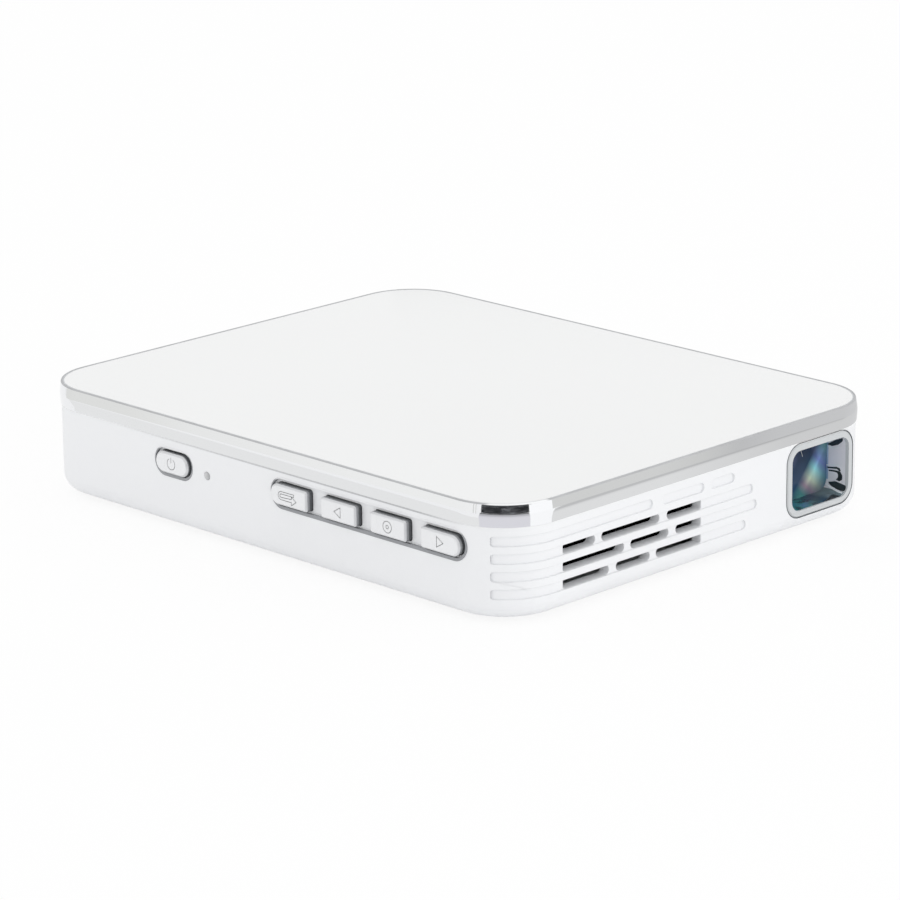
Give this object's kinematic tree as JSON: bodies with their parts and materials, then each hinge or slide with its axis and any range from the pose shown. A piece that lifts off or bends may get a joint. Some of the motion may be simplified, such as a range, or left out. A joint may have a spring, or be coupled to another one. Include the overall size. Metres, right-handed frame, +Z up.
{
  "type": "pocket projector",
  "caption": "Flat pocket projector with a glossy top, bright edge band, side keys, vent slots, square lens window and focus wheel.",
  "frame": {"origin": "centre of the bounding box at table height, under the rubber feet", "axes": "+Z up; the lens and vents face -Y, the keys face -X, the sockets face +Y"},
  "size_m": [0.1014, 0.124, 0.0218],
  "materials": {
    "white_shell": "matt white moulded plastic",
    "gloss_panel": "glossy white moulded plastic",
    "bright_trim": "bright plated plastic",
    "satin_key": "satin plated keys",
    "dark_gloss": "dark glossy plastic",
    "black_plastic": "black moulded plastic",
    "grey_plastic": "grey moulded plastic",
    "lens_glass": "coated optical glass",
    "clear_guide": "clear plastic light guide",
    "steel": "bright steel",
    "cast_metal": "cast metal",
    "aluminium": "plain aluminium",
    "copper": "copper",
    "brass": "brass",
    "board": "green circuit board",
    "battery_foil": "foil pouch",
    "rubber": "soft rubber"
  },
  "bodies": {
    "case": {"bottom_housing": "white_shell", "chrome_band": "bright_trim", "top_panel": "gloss_panel", "lens_bezel": "bright_trim", "lens_hood": "satin_key", "lens_mount": "grey_plastic", "focus_axle": "steel", "focus_clip": "steel", "light_engine": "cast_metal", "engine_cover": "cast_metal", "blue_lamp": "board", "red_green_lamp": "board", "heat_spreader": "aluminium", "heat_pipe": "copper", "fin_stack": "aluminium", "chip_board": "board", "chip_cooler": "aluminium", "fan_housing": "black_plastic", "fan_cover": "black_plastic", "fan_bearing": "brass", "fan_coil": "copper", "main_board": "board", "shield_can": "steel", "power_socket": "steel", "sound_socket": "black_plastic", "video_socket": "steel", "data_socket": "steel", "receiver_window": "dark_gloss", "battery_pack": "battery_foil", "battery_tray": "black_plastic", "speaker": "black_plastic", "speaker_box": "black_plastic", "wifi_antenna": "board", "key_surround": "satin_key", "power_surround": "satin_key", "key_board": "board", "key_switches": "steel", "status_light": "clear_guide", "rubber_feet": "rubber", "tripod_insert": "brass", "case_screws": "steel", "board_screws": "steel"},
    "lens_carriage": {"lens_barrel": "black_plastic", "front_lens": "lens_glass", "rear_lens": "lens_glass", "lens_ring": "black_plastic"},
    "focus_dial": {"focus_wheel": "grey_plastic"},
    "blower_wheel": {"fan_rotor": "black_plastic", "fan_shaft": "steel"},
    "power_press": {"power_button": "satin_key"},
    "return_press": {"return_key": "satin_key"},
    "previous_press": {"previous_key": "satin_key"},
    "ok_press": {"ok_key": "satin_key"},
    "next_press": {"next_key": "satin_key"}
  },
  "joints": [
    {"name": "focus_turn", "type": "hinge", "parent": "case", "child": "focus_dial", "pos_m": [0.0449, -0.0443, 0.0104], "axis": [0, 0, 1], "range_deg": [-35, 35]},
    {"name": "lens_slide", "type": "slide", "parent": "case", "child": "lens_carriage", "axis": [0, 1, 0], "range_m": [-0.0012, 0.0012]},
    {"name": "blower_spin", "type": "hinge", "parent": "case", "child": "blower_wheel", "pos_m": [-0.01775, -0.033, 0.008], "axis": [0, 0, 1], "continuous": true},
    {"name": "power_push", "type": "slide", "parent": "case", "child": "power_press", "axis": [1, 0, 0], "range_m": [0, 0.00035], "stiffness_N_per_m": 1500},
    {"name": "return_push", "type": "slide", "parent": "case", "child": "return_press", "axis": [1, 0, 0], "range_m": [0, 0.00035], "stiffness_N_per_m": 1500},
    {"name": "previous_push", "type": "slide", "parent": "case", "child": "previous_press", "axis": [1, 0, 0], "range_m": [0, 0.00035], "stiffness_N_per_m": 1500},
    {"name": "ok_push", "type": "slide", "parent": "case", "child": "ok_press", "axis": [1, 0, 0], "range_m": [0, 0.00035], "stiffness_N_per_m": 1500},
    {"name": "next_push", "type": "slide", "parent": "case", "child": "next_press", "axis": [1, 0, 0], "range_m": [0, 0.00035], "stiffness_N_per_m": 1500}
  ],
  "couplings": [
    {"joint": "focus_turn", "follows": "lens_slide", "rad_per_m": -507.15}
  ]
}
